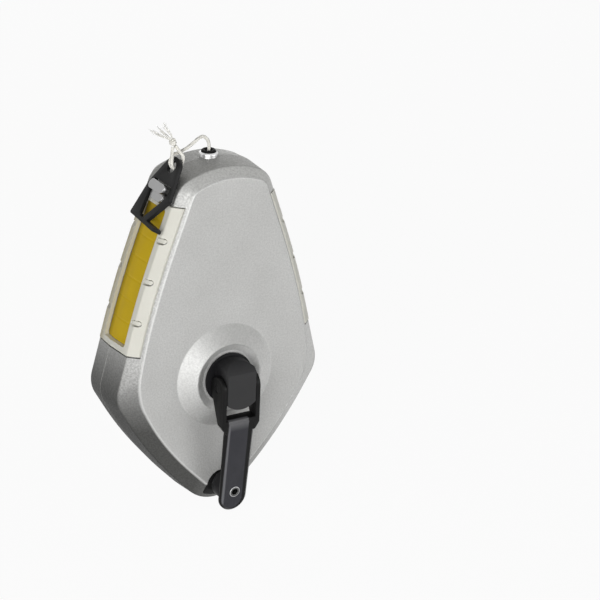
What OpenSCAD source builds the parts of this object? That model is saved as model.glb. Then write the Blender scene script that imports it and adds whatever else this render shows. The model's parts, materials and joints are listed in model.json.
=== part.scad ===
// Chalk line reel with a two-shell cast case, a folding crank and a parked end hook.
// Upright as it stands: +Z runs up to the line nozzle, the front plate faces -Y.
// The origin lies on the spool axis in the plane of the flat back face.

/* [Case] */
// Case depth from back face to front plate (mm)
case_depth = 30; // [29.5:0.5:31.5]
// Wall of the cast shells (mm)
wall = 2.4; // [2.2:0.1:2.6]
// Depth of the bevel around the front plate (mm)
bevel_depth = 4.6; // [4:0.2:5]
// Base radius of the crank boss (mm)
boss_r = 19.6; // [19:0.2:20.6]

/* [Spool and line] */
// Spool flange radius (mm)
flange_r = 32; // [30:0.5:32.5]
// Line diameter (mm)
line_d = 1.3; // [1.1:0.1:1.4]
// Radius of the wound line under its outer layer (mm)
pack_r = 24; // [20:1:26]

/* [Crank] */
// Distance from lever hinge to knob axis (mm)
crank_reach = 41.6; // [40:0.2:42.4]
// Lever width at the knob (mm)
lever_w = 11.2; // [10.4:0.1:12]
// Knob radius (mm)
knob_r = 5.4; // [4.8:0.1:5.6]
// Spool shaft radius (mm)
shaft_r = 3; // [2.8:0.1:3.2]

/* [Hook and fill door] */
// Hook length (mm)
hook_len = 25.5; // [24.5:0.5:26]
// Hook width at the claw (mm)
hook_w = 18; // [17:0.5:18.5]
// Hook plate thickness (mm)
hook_t = 1.5; // [1.2:0.1:1.7]
// Fill door thickness (mm)
door_t = 1.2; // [1:0.1:1.3]

/* [Hidden] */
$fn = 48;
tiny = 0.02;
big = 200;

// levels along Y
plate_y = -case_depth;
front_rim_y = plate_y + bevel_depth;
front_half = 16;
rear_bevel = 5.4;
seam_y = plate_y + front_half;
rear_rim_y = -rear_bevel;
plate_in_y = plate_y + wall;
back_in_y = -wall;

// case outline in the XZ plane, right half from top to tip
top_pt = [0, 82.5];
shoulder_pt = [18.7, 74.6];
flank_pt = [32.6, 36.5];
elbow_pt = [43.2, -4.8];
jaw_pt = [28, -30];
tip_pt = [0, -58.2];
top_round = 37.4;
shoulder_round = 10;
flank_round = 350;
elbow_round = 12;
jaw_round = 150;
tip_round = 15;
plate_inset = 4.7;
plate_lift = 1;
seam_draft = 0.6;
bevel_share = 0.42;
tip_fill_z = -38;

// side panels and their windows
side_in = 8;
side_out = 60;
panel_z0 = 12.5;
panel_z1 = 67;
panel_edge = 1.3;
panel_recess = 1.2;
panel_proud = 0.3;
panel_gap = 0.15;
pocket_z = [24.9, 39.9, 54.7];
pocket_h = 2;
pocket_len = 2.6;
rear_pocket_len = 5;
pocket_depth = 0.9;
window_front = 5.6;
window_back = 11.4;
window_y0 = plate_y + window_front;
window_y1 = -window_back;
window_z0 = 15;
window_z1 = 65;
strip_t = 1.5;
strip_lap = 1.3;
strip_line = 0.35;
strip_line_h = 0.5;
strip_line_step = 7.5;

// nozzle on the seam at the top
nozzle_z = 79;
collar_r = 3.4;
grommet_r = 2.4;
line_bore_r = 1.2;
collar_top = 1.9;
collar_len = 6;
collar_edge = 0.5;
collar_flange = 1.2;
collar_flange_t = 1;
collar_seat = 0.2;
grommet_len = 2;
grommet_lip = 0.7;
wiper_h = 3.6;
wiper_gap = 0.4;
nozzle_cut = 20;
collar_flange_z = nozzle_z - wall - collar_seat;
lip_z = nozzle_z + collar_top + grommet_lip;

// screws from the back
screw_xz = [[0, -41], [12.5, 58], [-12.5, 58]];
screw_r = 1.5;
screw_head_r = 2.8;
screw_head_h = 2;
screw_len = 20;
screw_boss_r = 3.2;
screw_sink = 0.3;
screw_head_gap = 0.1;
screw_tip_gap = 1;
screw_drive_r = 1;
screw_drive_h = 1.1;
boss_bury = 1;

// spool stack along Y
bush_r = 5;
bush_flange_r = 7;
bush_flange_t = 0.8;
running_gap = 0.04;
washer_t = 0.5;
front_boss_h = 0.6;
front_boss_r = 9;
rear_boss_h = 1;
rear_boss_r = 8;
spool_play = 0.1;
back_skin = 1.2;
shaft_end_gap = 0.5;
bearing_y0 = plate_in_y + front_boss_h;
washer_y = bearing_y0 + bush_flange_t;
spool_y0 = washer_y + washer_t + spool_play;
bearing_y1 = back_in_y - rear_boss_h;
spool_y1 = bearing_y1 - bush_flange_t - 2 * spool_play;
flange_t = 1.6;
core_r = 8;
spigot_r = 6;
flange_hole_r = 3;
flange_hole_at = 16;
wind_steps = 24;
wind_sides = 6;
wind_clear = 0.1;
wind_side_gap = 0.3;
wind_gap = 0.48;
wind_width = spool_y1 - spool_y0 - 2 * flange_t - line_d - 2 * wind_side_gap;
wind_loops = floor(wind_width / (line_d + wind_gap));
wind_pitch = wind_width / wind_loops;
wind_r = (pack_r + line_d / 2 + wind_clear) / cos(180 / wind_steps);

// crank
crater_r = 13.2;
crater_h = 3.7;
crater_floor_r = 10.4;
crater_floor_h = 2.2;
hub_r = 9.6;
hub_lift = 0.5;
hub_h = 12.8;
hub_y0 = plate_y - crater_floor_h - hub_lift;
hub_y1 = plate_y - hub_h;
hub_roof_z = 5.2;
hub_roof_angle = 38;
hub_cap = 2.2;
hub_neck = 0.8;
hub_half_w = 5.8;
hub_block_r = 8.7;
hinge_h = 8.2;
hinge_y = plate_y - hinge_h;
hinge_z = -1;
pin_r = 1.5;
pin_sink = 0.15;
arm_x0 = 6.1;
arm_x1 = 7.8;
arm_r = 4.4;
lever_tilt = 6;
lever_front = 6.1;
lever_t = 2.2;
lever_top = 11.3;
lever_bevel = 1.1;
lever_back_edge = 0.4;
lever_end = 2.6;
lever_end_z = crank_reach + lever_end;
lever_back_y = lever_t - lever_front;
arm_foot_r = 1.1;
arm_foot_drop = 4.4;
arm_drop = 2.2;
arm_slant = 34;
knob_len = 6.2;
knob_play = 0.2;
knob_edge = 0.7;
knob_well = 1;
rivet_sink = 0.3;
rivet_proud = 0.2;
rivet_well = 1;
rivet_well_gap = 0.3;
knob_back_y = lever_back_y + knob_len;
rivet_r = 1.7;
rivet_head_r = 2.1;
rivet_seat = 0.5;
rivet_hollow_r = 1.2;
seat_r = 5.8;
seat_z = -44;
seat_depth = 3;
seat_drop = 0.25;

// hook frame: starts at the middle of the claw edge, s runs up, n points outward
hook_x = -27.75;
hook_front = 4.2;
hook_y = seam_y - hook_front;
hook_z = 60.05;
hook_lean = 32.2;
hook_top_r = 4.8;
hole_drop = 3.9;
hole_s = hook_len - hole_drop;
hole_r = 2.3;
hook_corner_r = 0.8;
hook_side_r = 1.2;
rear_shoulder = [6.9, 12.8];
front_shoulder = [-7.3, 10.8];
web_y = 3.4;
brace_foot = [-0.8, 0.8];
brace_r = 1.3;
claw_drop = 2;
claw_r = 0.75;
claw_slant = 1.3;
slot_top = 15.4;
slot_front = -5.8;
slot_front_s = 11;
slot_rear = 5.6;
slot_rear_s = 10.6;
slot_foot = [[0.4, 2.2], [3.8, 1.9]];
peg_s = 13.2;
peg_half = 1.4;
peg_stem_r = 1.5;
peg_head_y = -0.4;
peg_head_half = 3.2;
peg_head_r = 1.8;
peg_head_t = 1.7;
peg_foot = [0.8, 10.1];
peg_foot_half = 2.2;
peg_foot_n = [-0.8, 1];
peg_clear = 0.5;
peg_root = 4.2;
peg_cut = 12;

// fill door frame: s runs up the right flank, n points outward
door_x = 30.05;
door_z = 40;
door_lean = 17.4;
door_slot_n = -5.2;
door_gap = 0.2;
door_in_n = door_slot_n + door_gap;
door_w = 13.6;
frame_in_n = -6.6;
frame_half = 28;
frame_bar = 2.6;
open_len = 23.6;
open_s1 = frame_half - frame_bar;
open_s0 = open_s1 - open_len;
door_lap = 1.2;
door_s0 = open_s0 - door_lap;
door_s1 = open_s1 + door_lap;
frame_lap = 2;
frame_foot = 2;
frame_head = 1;
door_ledge = 1;
tab_half = 4.5;
tab_top_gap = 0.6;
tab_t = 1.6;
tab_n = -0.6;

cast_grey = [0.78, 0.78, 0.76];
pale = [0.88, 0.88, 0.82];
yellow = [0.8, 0.66, 0.12];
black = [0.12, 0.12, 0.13];
steel = [0.7, 0.71, 0.73];
cord_white = [0.93, 0.92, 0.86];
bronze = [0.7, 0.52, 0.3];

function unit(v) = v / norm(v);

// arc of radius r that rounds the corner at p between a and b
function corner_arc(a, p, b, r, n) =
    let (u = unit(a - p))
    let (v = unit(b - p))
    let (half = acos(u * v) / 2)
    let (c = p + unit(u + v) * r / sin(half))
    let (s = p + u * r / tan(half) - c)
    let (e = p + v * r / tan(half) - c)
    let (start = atan2(s.y, s.x))
    let (turn = atan2(cross(s, e), s * e))
    [for (i = [0:n]) c + r * [cos(start + turn * i / n), sin(start + turn * i / n)]];

function flip(p) = [-p.x, p.y];

rim_pts = [top_pt, shoulder_pt, flank_pt, elbow_pt, jaw_pt, tip_pt,
    flip(jaw_pt), flip(elbow_pt), flip(flank_pt), flip(shoulder_pt)];
rim_rounds = [top_round, shoulder_round, flank_round, elbow_round, jaw_round, tip_round,
    jaw_round, elbow_round, flank_round, shoulder_round];
rim_steps = [8, 6, 5, 6, 4, 8, 4, 6, 5, 6];

module rim_outline(inset)
    offset(delta = -inset)
        polygon([for (i = [0:9])
            each corner_arc(rim_pts[(i + 9) % 10], rim_pts[i], rim_pts[(i + 1) % 10],
                rim_rounds[i], rim_steps[i])]);

module slab(y, inset, lift)
    translate([0, y, 0])
        rotate([90, 0, 0])
            linear_extrude(tiny)
                translate([0, lift])
                    rim_outline(inset);

// whole case body, shrunk by inset on every side
module case_solid(inset)
    hull() {
        slab(-inset, plate_inset + inset * bevel_share, plate_lift);
        slab(rear_rim_y, seam_draft + inset, 0);
        slab(seam_y, inset, 0);
        slab(front_rim_y + tiny, seam_draft + inset, 0);
        slab(plate_y + inset + tiny, plate_inset + inset * bevel_share, plate_lift);
    }

// cylinder along +Y from y0 to y1
module rod_y(r, y0, y1, x = 0, z = 0)
    translate([x, y1, z])
        rotate([90, 0, 0])
            cylinder(r = r, h = y1 - y0);

module block(x0, x1, y0, y1, z0, z1)
    translate([x0, y0, z0])
        cube([x1 - x0, y1 - y0, z1 - z0]);

// block that takes in one flank of the case
module side_block(side, y0, y1, z0, z1)
    block(side > 0 ? side_in : -side_out, side > 0 ? side_out : -side_in, y0, y1, z0, z1);

module panel_zone(side, gap)
    side_block(side, plate_y + panel_edge - gap, -panel_edge + gap, panel_z0 - gap, panel_z1 + gap);

module window_zone(side, grow)
    side_block(side, window_y0 - grow, window_y1 + grow, window_z0 - grow, window_z1 + grow);

// hollow case with panel recesses, windows, nozzle bore and peg bore
module shell_body() {
    difference() {
        case_solid(0);
        intersection() {
            case_solid(wall);
            block(-big, big, -big, big, tip_fill_z, big);
        }
        difference() {
            union() {
                panel_zone(1, panel_gap);
                panel_zone(-1, panel_gap);
            }
            case_solid(panel_recess);
        }
        window_zone(1, 0);
        door_opening(frame_in_n);
        window_zone(-1, 0);
        translate([0, seam_y, nozzle_z - nozzle_cut])
            cylinder(r = collar_r, h = 2 * nozzle_cut);
        peg_stem(peg_cut);
    }
}

module front_shell()
    color(cast_grey)
        difference() {
            union() {
                intersection() {
                    shell_body();
                    block(-big, big, -big, seam_y, -big, big);
                }
                rotate([90, 0, 0])
                    rotate_extrude($fn = 72)
                        polygon([[bush_r, -bearing_y0], [front_boss_r, -bearing_y0], [front_boss_r, -plate_y],
                            [boss_r, -plate_y], [crater_r, crater_h - plate_y],
                            [crater_floor_r, crater_floor_h - plate_y], [bush_r, crater_floor_h - plate_y]]);
                for (p = screw_xz)
                    rod_y(screw_boss_r, plate_y + boss_bury, seam_y, p.x, p.y);
            }
            rod_y(bush_r, -big, big);
            for (p = screw_xz)
                rod_y(screw_r, -screw_len - screw_tip_gap, big, p.x, p.y);
            rod_y(seat_r, -big, plate_y + seat_depth, 0, seat_z);
            block(-seat_r, seat_r, -big, plate_y + seat_depth, -big, seat_z);
        }

module rear_shell()
    color(cast_grey)
        difference() {
            union() {
                intersection() {
                    shell_body();
                    block(-big, big, seam_y, big, -big, big);
                }
                rod_y(rear_boss_r, bearing_y1, -boss_bury);
                for (p = screw_xz)
                    rod_y(screw_boss_r, seam_y, -boss_bury, p.x, p.y);
            }
            rod_y(bush_r, -big, -back_skin);
            for (p = screw_xz) {
                rod_y(screw_r, -big, big, p.x, p.y);
                rod_y(screw_head_r + screw_head_gap, -screw_head_h - screw_sink, big, p.x, p.y);
            }
        }

// round-ended pocket that starts at depth y and runs along by reach
module pocket(side, y, reach, z)
    translate([side * (side_in + side_out) / 2, 0, z])
        rotate([90, 0, 90])
            linear_extrude(side_out - side_in, center = true)
                hull() {
                    translate([y + reach, 0])
                        circle(pocket_h / 2, $fn = 24);
                    translate([y - tiny, -pocket_h / 2])
                        square([2 * tiny, pocket_h]);
                }

module side_panel(side)
    color(pale)
        difference() {
            intersection() {
                case_solid(-panel_proud);
                panel_zone(side, 0);
            }
            case_solid(panel_recess);
            window_zone(side, 0);
            if (side > 0)
                door_opening(frame_in_n);
            difference() {
                for (z = pocket_z) {
                    pocket(side, window_y0, -pocket_len, z);
                    pocket(side, 0, -rear_pocket_len, z);
                }
                case_solid(pocket_depth - panel_proud);
            }
        }

module left_side_panel() side_panel(-1);

module right_side_panel() side_panel(1);

module left_window_strip()
    color(yellow)
        difference() {
            intersection() {
                case_solid(wall);
                window_zone(-1, strip_lap);
            }
            case_solid(wall + strip_t);
            difference() {
                for (z = [window_z0 + strip_line_step:strip_line_step:window_z1 - strip_line_step / 2])
                    block(-side_out, 0, window_y0, window_y1, z, z + strip_line_h);
                case_solid(wall + strip_line);
            }
        }

// plate in the YZ plane between two X levels
module plate_yz(x0, x1)
    translate([x0, 0, 0])
        rotate([90, 0, 90])
            linear_extrude(x1 - x0)
                children();

module capsule(half, r)
    hull() {
        translate([half, 0])
            circle(r, $fn = 32);
        translate([-half, 0])
            circle(r, $fn = 32);
    }

module in_hook_frame()
    translate([hook_x, hook_y, hook_z])
        rotate([0, hook_lean, 0])
            children();

module peg_stem(depth)
    in_hook_frame()
        plate_yz(-hook_t - peg_clear, depth)
            translate([0, peg_s])
                capsule(peg_half, peg_stem_r);

module hook_peg()
    color(steel) {
        peg_stem(peg_root);
        in_hook_frame()
            plate_yz(-hook_t - peg_clear - peg_head_t, -hook_t - peg_clear)
                translate([peg_head_y, peg_s])
                    capsule(peg_head_half, peg_head_r);
        in_hook_frame()
            plate_yz(peg_foot_n[0], peg_foot_n[1])
                translate(peg_foot)
                    capsule(peg_foot_half, peg_head_r);
    }

module hook_dot(p, r)
    translate(p)
        circle(r, $fn = 24);

module hook_bar(p, q, r)
    hull() {
        hook_dot(p, r);
        hook_dot(q, r);
    }

module claw_edge()
    hook_bar([hook_w / 2 - claw_r, claw_r], [claw_r - hook_w / 2, claw_r - claw_slant], claw_r);

// head, rear leg, slanting brace and claw edge of the hook
module hook_outline() {
    hull() {
        translate([0, hook_len - hook_top_r])
            circle(hook_top_r);
        hook_dot(front_shoulder, hook_side_r);
        hook_dot(rear_shoulder, hook_side_r);
    }
    hull() {
        hook_dot(rear_shoulder, hook_side_r);
        hook_dot([hook_w / 2 - hook_corner_r, hook_corner_r], hook_corner_r);
        hook_dot([web_y, hook_corner_r], hook_corner_r);
    }
    hook_bar(front_shoulder, brace_foot, brace_r);
    claw_edge();
}

module hook_slot()
    polygon([[slot_front, slot_top], [slot_front, slot_front_s], slot_foot[0], slot_foot[1],
        [slot_rear, slot_rear_s], [slot_rear, slot_top]]);

module line_hook()
    color(black)
        in_hook_frame() {
            plate_yz(-hook_t, 0)
                difference() {
                    hook_outline();
                    hook_slot();
                    translate([0, hole_s])
                        circle(hole_r);
                }
            plate_yz(-hook_t, claw_drop)
                claw_edge();
        }

module nozzle_collar()
    color(steel)
        translate([0, seam_y, 0])
            rotate_extrude()
                polygon([[grommet_r, nozzle_z - collar_len], [collar_r, nozzle_z - collar_len],
                    [collar_r, collar_flange_z - collar_flange_t],
                    [collar_r + collar_flange, collar_flange_z - collar_flange_t],
                    [collar_r + collar_flange, collar_flange_z], [collar_r, collar_flange_z],
                    [collar_r, nozzle_z + collar_top - collar_edge],
                    [collar_r - collar_edge, nozzle_z + collar_top], [grommet_r, nozzle_z + collar_top]]);

module nozzle_grommet()
    color(black)
        translate([0, seam_y, 0])
            rotate_extrude()
                polygon([[line_bore_r, nozzle_z - grommet_len], [grommet_r, nozzle_z - grommet_len],
                    [grommet_r, nozzle_z + collar_top], [collar_r - collar_edge, nozzle_z + collar_top],
                    [grommet_r, lip_z], [line_bore_r + collar_edge, lip_z],
                    [line_bore_r, lip_z - collar_edge]]);

module felt_wiper()
    color(cord_white)
        translate([0, seam_y, nozzle_z - collar_len + wiper_gap])
            difference() {
                cylinder(r = grommet_r, h = wiper_h);
                translate([0, 0, -wiper_h])
                    cylinder(r = line_bore_r, h = 3 * wiper_h);
            }

module knob_seat()
    color(black)
        intersection() {
            union() {
                rod_y(seat_r, plate_y + seat_drop, plate_y + seat_depth, 0, seat_z);
                block(-seat_r, seat_r, plate_y + seat_drop, plate_y + seat_depth, -big, seat_z);
            }
            case_solid(0);
        }

module case_screws()
    color(steel)
        for (p = screw_xz)
            difference() {
                union() {
                    rod_y(screw_r, -screw_len, -screw_sink, p.x, p.y);
                    rod_y(screw_head_r, -screw_head_h - screw_sink, -screw_sink, p.x, p.y);
                }
                rod_y(screw_drive_r, -screw_sink - screw_drive_h, 0, p.x, p.y);
            }

module front_bush()
    color(bronze)
        difference() {
            union() {
                rod_y(bush_r, plate_y - crater_floor_h, washer_y);
                rod_y(bush_flange_r, bearing_y0, washer_y);
            }
            rod_y(shaft_r + running_gap, -big, big);
        }

module rear_bush()
    color(bronze)
        difference() {
            union() {
                rod_y(bush_r, bearing_y1 - bush_flange_t, -back_skin);
                rod_y(bush_flange_r, bearing_y1 - bush_flange_t, bearing_y1);
            }
            rod_y(shaft_r + running_gap, -big, -back_skin - shaft_end_gap / 2);
        }

module thrust_washer()
    color(steel)
        difference() {
            rod_y(bush_flange_r, washer_y, washer_y + washer_t);
            rod_y(shaft_r + running_gap, -big, big);
        }

module spool_core()
    color(black)
        difference() {
            union() {
                rod_y(core_r, spool_y0 + flange_t, spool_y1 - flange_t);
                rod_y(spigot_r, spool_y0, spool_y1);
            }
            rod_y(shaft_r, -big, big);
        }

module spool_flange(y)
    color(black)
        difference() {
            rod_y(flange_r, y, y + flange_t);
            rod_y(spigot_r, -big, big);
            for (a = [30:60:330])
                rotate([0, a, 0])
                    rod_y(flange_hole_r, -big, big, flange_hole_at);
        }

module front_flange() spool_flange(spool_y0);

module rear_flange() spool_flange(spool_y1 - flange_t);

module spool_shaft()
    color(steel)
        difference() {
            rod_y(shaft_r, hub_y1 + hub_cap, -back_skin - shaft_end_gap);
            hinge_bore(pin_r);
        }

module line_pack()
    color(cord_white)
        difference() {
            rod_y(pack_r, spool_y0 + flange_t, spool_y1 - flange_t);
            rod_y(core_r, -big, big);
        }

// crosswise bore on the lever hinge axis
module hinge_bore(r)
    translate([-hub_r, hinge_y, hinge_z])
        rotate([0, 90, 0])
            cylinder(r = r, h = 2 * hub_r);

module crank_hub()
    color(black)
        difference() {
            union() {
                rod_y(hub_r, hub_y0 - hub_neck, hub_y0);
                intersection() {
                    rod_y(hub_block_r, hub_y1, hub_y0);
                    block(-hub_half_w, hub_half_w, -big, big, -big, big);
                }
            }
            rod_y(shaft_r, hub_y1 + hub_cap, big);
            hinge_bore(pin_r);
            translate([-hub_r, hub_y1, hub_roof_z])
                rotate([hub_roof_angle, 0, 0])
                    cube(2 * hub_r);
        }

module bail_pin()
    color(steel)
        translate([0, hinge_y, hinge_z])
            rotate([0, 90, 0])
                cylinder(r = pin_r, h = 2 * (arm_x1 - pin_sink), center = true);

// lever frame: hinge at the origin, the lever hangs along -Z
module in_lever_frame()
    translate([0, hinge_y, hinge_z])
        rotate([lever_tilt, 0, 0])
            children();

module lever_outline(inset)
    offset(delta = -inset)
        hull() {
            translate([0, -lever_end_z])
                circle(lever_w / 2);
            translate([-arm_x0, -lever_top - tiny])
                square([2 * arm_x0, tiny]);
        }

module lever_slab(y, inset)
    translate([0, y, 0])
        rotate([90, 0, 0])
            linear_extrude(tiny)
                lever_outline(inset);

module bail_arm()
    difference() {
        rotate([90, 0, 90])
            linear_extrude(arm_x1)
                hull() {
                    circle(arm_r);
                    translate([-lever_front + arm_foot_r, -lever_top - arm_foot_drop])
                        circle(arm_foot_r, $fn = 32);
                }
        block(-big, arm_x0, -big, big, -lever_top, big);
        translate([arm_x1, 0, -lever_top - arm_drop])
            rotate([0, arm_slant, 0])
                block(0, big, -big, big, -big, 0);
    }

module crank_lever()
    color(black)
        difference() {
            in_lever_frame() {
                hull() {
                    lever_slab(lever_back_y, lever_back_edge);
                    lever_slab(lever_back_y - lever_back_edge, 0);
                    lever_slab(-lever_front + lever_bevel, 0);
                    lever_slab(-lever_front + tiny, lever_bevel);
                }
                bail_arm();
                mirror([1, 0, 0])
                    bail_arm();
            }
            hinge_bore(pin_r + running_gap);
            in_lever_frame() {
                rod_y(rivet_r, -big, big, 0, -crank_reach);
                rod_y(rivet_head_r, -big, rivet_seat - lever_front, 0, -crank_reach);
            }
        }

module crank_knob()
    color(black)
        in_lever_frame()
            difference() {
                union() {
                    rod_y(knob_r, lever_back_y + knob_play, knob_back_y - knob_edge, 0, -crank_reach);
                    rod_y(knob_r - knob_edge, lever_back_y + knob_play, knob_back_y, 0, -crank_reach);
                }
                rod_y(rivet_r + running_gap, -big, big, 0, -crank_reach);
                rod_y(rivet_head_r + rivet_well_gap, knob_back_y - knob_well, big, 0, -crank_reach);
            }

module knob_rivet()
    color(steel)
        in_lever_frame()
            difference() {
                union() {
                    rod_y(rivet_r, -lever_front, knob_back_y - rivet_sink, 0, -crank_reach);
                    rod_y(rivet_head_r, -lever_front - rivet_proud, rivet_seat - lever_front, 0, -crank_reach);
                    rod_y(rivet_head_r, knob_back_y - knob_well + knob_play, knob_back_y - rivet_sink,
                        0, -crank_reach);
                }
                rod_y(rivet_hollow_r, -big, rivet_well - lever_front, 0, -crank_reach);
            }

module in_door_frame()
    translate([door_x, (window_y0 + window_y1) / 2, door_z])
        rotate([0, -door_lean, 0])
            children();

// block in the door frame: n across the flank, s along it
module door_block(n0, n1, half_w, s0, s1)
    in_door_frame()
        block(n0, n1, -half_w, half_w, s0, s1);

// opening over the door, from level n outward through whatever lies there
module door_opening(n)
    door_block(n, side_out, door_w / 2 - door_ledge, open_s0, open_s1);

module door_frame()
    color(yellow)
        difference() {
            intersection() {
                case_solid(wall);
                door_block(frame_in_n, side_out, (window_y1 - window_y0) / 2 + frame_lap,
                    -frame_half, frame_half);
            }
            door_block(door_slot_n, door_slot_n + door_t + 2 * door_gap, door_w / 2 + door_gap,
                frame_foot - frame_half, frame_half - frame_head);
            door_opening(-side_out);
        }

module fill_door()
    color(yellow) {
        door_block(door_in_n, door_in_n + door_t, door_w / 2, door_s0, door_s1);
        door_block(door_in_n, tab_n, tab_half, open_s1 - tab_top_gap - tab_t, open_s1 - tab_top_gap);
    }

// smooth run through hand-placed points
function blend4(a, b, c, d, t) = 0.5 * (2 * b + (c - a) * t + (2 * a - 5 * b + 4 * c - d) * t * t
    + (3 * b - a - 3 * c + d) * t * t * t);
function smooth(p, k) = concat([for (i = [0:len(p) - 2]) for (j = [0:k - 1])
    blend4(p[max(i - 1, 0)], p[i], p[i + 1], p[min(i + 2, len(p) - 1)], j / k)], [p[len(p) - 1]]);

// tube of radius r along the path
module tube(path, r, sides) {
    n = len(path);
    pts = [for (i = [0:n - 1])
        let (t = unit(path[min(i + 1, n - 1)] - path[max(i - 1, 0)]))
        let (u = unit([0, 1, 0] - t * t.y))
        let (w = cross(t, u))
        for (k = [0:sides - 1]) path[i] + r * (cos(360 * k / sides) * u + sin(360 * k / sides) * w)];
    walls = [for (i = [0:n - 2]) for (k = [0:sides - 1])
        [i * sides + k, (i + 1) * sides + k, (i + 1) * sides + (k + 1) % sides, i * sides + (k + 1) % sides]];
    ends = [[for (k = [0:sides - 1]) k], [for (k = [sides - 1:-1:0]) (n - 1) * sides + k]];
    polyhedron(points = pts, faces = concat(walls, ends));
}

wind_y0 = spool_y0 + flange_t + wind_side_gap + line_d / 2;
wind_path = [for (i = [0:wind_loops * wind_steps])
    let (a = 360 * i / wind_steps)
    [wind_r * cos(a), wind_y0 + wind_pitch * i / wind_steps, wind_r * sin(a)]];
echo(line_winding_least_self_gap = norm(wind_path[wind_steps] - wind_path[0]) - line_d);

module line_winding()
    color(cord_white)
        tube(wind_path, line_d / 2, wind_sides);

// cord points are measured from the seam plane
module at_seam()
    translate([0, seam_y, 0])
        children();

line_route = [[26.6, 0, 9], [17, 0, 33], [6.8, 0, 57], [2.2, 0, 67.5], [0.4, 0, 72], [0, 0, 75.5],
    [0, 0, 79], [0.1, 0, 82.6], [-0.7, -0.1, 85.4], [-2.6, -0.3, 86.9], [-5, -0.6, 86.4],
    [-8.6, -1, 84.4], [-12.6, -1.8, 83.2], [-16.2, -2.7, 82.8], [-17.65, -3.3, 80.75],
    [-17.15, -3.3, 78.95], [-16.25, -3.3, 78.35], [-15.05, -3.3, 77.65]];
route_steps = 4;
cord_sides = 8;

module line_free()
    color(cord_white)
        at_seam()
            tube(smooth(line_route, route_steps), line_d / 2, cord_sides);

loop_route = [[-16.8, -3.5, 86.2], [-17.5, -4.4, 83.8], [-18.05, -5.2, 81.15], [-17.15, -5, 78.95],
    [-16.25, -4.9, 78.35], [-14.95, -4.9, 77.95], [-13.85, -4.9, 79.75], [-13, -4.4, 82.1],
    [-14.2, -3.5, 84.5], [-15.6, -3, 86.3]];

module line_loop()
    color(cord_white)
        at_seam()
            tube(smooth(loop_route, route_steps), line_d / 2, cord_sides);

// tight knot: two wraps side by side around the line
knot_at = [-16.73, -3.25, 87.95];
knot_lean = -22;
knot_core_r = 0.95;
knot_bulge = 0.7;
knot_wraps = 2;
knot_wrap_len = 1.15;
knot_steps = 8;
knot_half = knot_wraps * knot_wrap_len / 2;
knot_profile = [for (i = [0:knot_wraps * knot_steps])
    [knot_core_r + knot_bulge * abs(sin(180 * i / knot_steps)), knot_wrap_len * i / knot_steps - knot_half]];

module line_knot()
    color(cord_white)
        at_seam()
            translate(knot_at)
                rotate([0, knot_lean, 0])
                    rotate_extrude($fn = 24)
                        polygon(concat([[0, -knot_half]], knot_profile, [[0, knot_half]]));

fray_routes = [
    [[-16.85, -3.2, 89.3], [-17.7, -3.2, 91.2], [-19.4, -3, 93.6], [-20.6, -3, 96.2]],
    [[-17.4, -3.3, 89.2], [-19.1, -3.5, 90.8], [-21.2, -3.8, 92.7], [-23.2, -4, 95]],
    [[-17.85, -3.2, 89.05], [-20, -3.1, 90.1], [-22.6, -2.8, 91.6], [-25.4, -2.6, 93.6]]];

module line_ends()
    color(cord_white)
        at_seam()
            for (route = fray_routes)
                tube(smooth(route, route_steps), line_d / 4, wind_sides);

front_shell();
rear_shell();
left_side_panel();
right_side_panel();
left_window_strip();
door_frame();
fill_door();
hook_peg();
nozzle_collar();
nozzle_grommet();
felt_wiper();
knob_seat();
case_screws();
front_bush();
rear_bush();
thrust_washer();
spool_core();
front_flange();
rear_flange();
spool_shaft();
line_pack();
line_winding();
crank_hub();
bail_pin();
crank_lever();
crank_knob();
knob_rivet();
line_hook();
line_free();
line_loop();
line_knot();
line_ends();
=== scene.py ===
import json
import math

import bmesh
import bpy
import numpy as np
from mathutils import Matrix, Vector

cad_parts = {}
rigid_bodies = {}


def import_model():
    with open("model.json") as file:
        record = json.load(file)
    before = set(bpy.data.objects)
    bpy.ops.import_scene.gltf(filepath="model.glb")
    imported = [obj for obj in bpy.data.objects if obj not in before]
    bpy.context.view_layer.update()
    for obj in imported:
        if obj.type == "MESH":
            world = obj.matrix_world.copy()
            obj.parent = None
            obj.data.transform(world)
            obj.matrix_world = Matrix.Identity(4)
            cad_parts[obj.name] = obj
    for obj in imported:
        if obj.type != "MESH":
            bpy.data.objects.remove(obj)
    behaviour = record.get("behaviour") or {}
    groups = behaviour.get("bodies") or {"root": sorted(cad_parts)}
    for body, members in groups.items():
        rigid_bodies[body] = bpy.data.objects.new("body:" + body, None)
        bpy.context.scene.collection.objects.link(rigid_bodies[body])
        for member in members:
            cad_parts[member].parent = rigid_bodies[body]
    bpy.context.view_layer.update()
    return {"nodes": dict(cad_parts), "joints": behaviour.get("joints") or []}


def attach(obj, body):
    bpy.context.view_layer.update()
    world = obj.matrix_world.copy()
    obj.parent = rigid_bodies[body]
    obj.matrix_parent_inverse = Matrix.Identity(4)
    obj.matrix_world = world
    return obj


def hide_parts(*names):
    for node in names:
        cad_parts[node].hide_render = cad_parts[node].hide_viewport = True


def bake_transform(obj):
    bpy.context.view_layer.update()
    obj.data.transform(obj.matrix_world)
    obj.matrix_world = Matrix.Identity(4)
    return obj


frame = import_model()

MM = 0.001
nodes = frame["nodes"]
joints = {joint["name"]: joint for joint in frame["joints"]}
rng = np.random.default_rng(7)


# Sizes in millimetres: X to the right, Y towards the back face at 0, Z up from the spool's axis

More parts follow.
